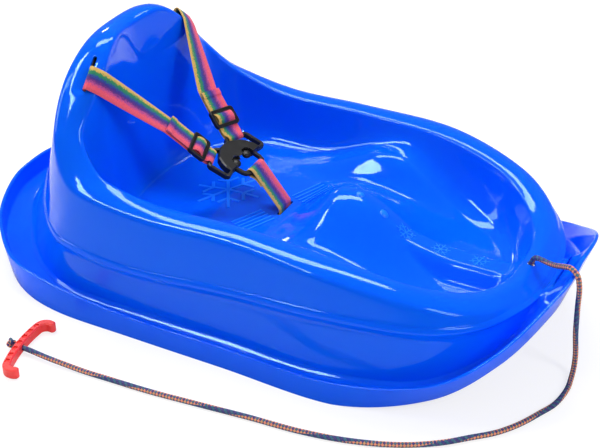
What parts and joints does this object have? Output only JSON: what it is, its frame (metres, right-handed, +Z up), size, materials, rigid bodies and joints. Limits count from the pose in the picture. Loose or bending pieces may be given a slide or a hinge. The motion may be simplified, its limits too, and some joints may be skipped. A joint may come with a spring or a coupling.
{
  "type": "baby pull sled",
  "caption": "Moulded plastic baby pull sled with a high backrest, a crotch pommel, a three-point webbing harness with a release buckle, and a pull rope with a curved handle.",
  "frame": {"origin": "on the ground under the middle of the sled's box, rope and handle left out", "axes": "+X to the front, where the rope leaves; +Y to the sled's left; +Z up"},
  "size_m": [0.7919, 0.5584, 0.3048],
  "materials": {
    "shell": "glossy blue moulded plastic",
    "bar": "plain black plastic bar",
    "webbing": "woven webbing with gold, green, teal, purple, pink and coral stripes along it",
    "buckle": "fine grained black plastic with worn lighter edges",
    "rope": "braided cord in salmon, blue and teal",
    "handle": "satin red plastic"
  },
  "bodies": {
    "sled": {"sled_shell": "shell", "strap_stop_right": "bar", "strap_stop_left": "bar", "shoulder_strap_right": "webbing", "shoulder_strap_left": "webbing", "crotch_stop": "bar", "crotch_strap": "webbing", "buckle_body": "buckle", "pull_rope": "rope", "rope_front_knot": "rope", "rope_end_knot": "rope"},
    "slider_right": {"strap_slider_right": "buckle"},
    "slider_left": {"strap_slider_left": "buckle"},
    "fork": {"buckle_fork": "buckle"},
    "prong_right": {"buckle_prong_right": "buckle"},
    "prong_left": {"buckle_prong_left": "buckle"},
    "handle": {"pull_handle": "handle"}
  },
  "joints": [
    {"name": "fork_slide", "type": "slide", "parent": "sled", "child": "fork", "axis": [0.9397, 0, -0.342], "range_m": [0, 0.022], "deforming": ["crotch_strap"]},
    {"name": "prong_press_right", "type": "hinge", "parent": "fork", "child": "prong_right", "pos_m": [-0.06748, -0.009, 0.15343], "axis": [0.342, 0, 0.9397], "range_deg": [0, 7], "stiffness_Nm_per_rad": 0.6},
    {"name": "prong_press_left", "type": "hinge", "parent": "fork", "child": "prong_left", "pos_m": [-0.06748, 0.003, 0.15343], "axis": [0.342, 0, 0.9397], "range_deg": [-7, 0], "stiffness_Nm_per_rad": 0.6},
    {"name": "slider_slide_right", "type": "slide", "parent": "sled", "child": "slider_right", "axis": [-0.6863, -0.287, 0.6683], "range_m": [0, 0.024]},
    {"name": "slider_slide_left", "type": "slide", "parent": "sled", "child": "slider_left", "axis": [-0.6892, 0.2875, 0.6651], "range_m": [-0.008, 0.016]},
    {"name": "handle_slide", "type": "slide", "parent": "sled", "child": "handle", "axis": [0.9981, -0.0624, 0], "range_m": [0, 0.025]}
  ]
}
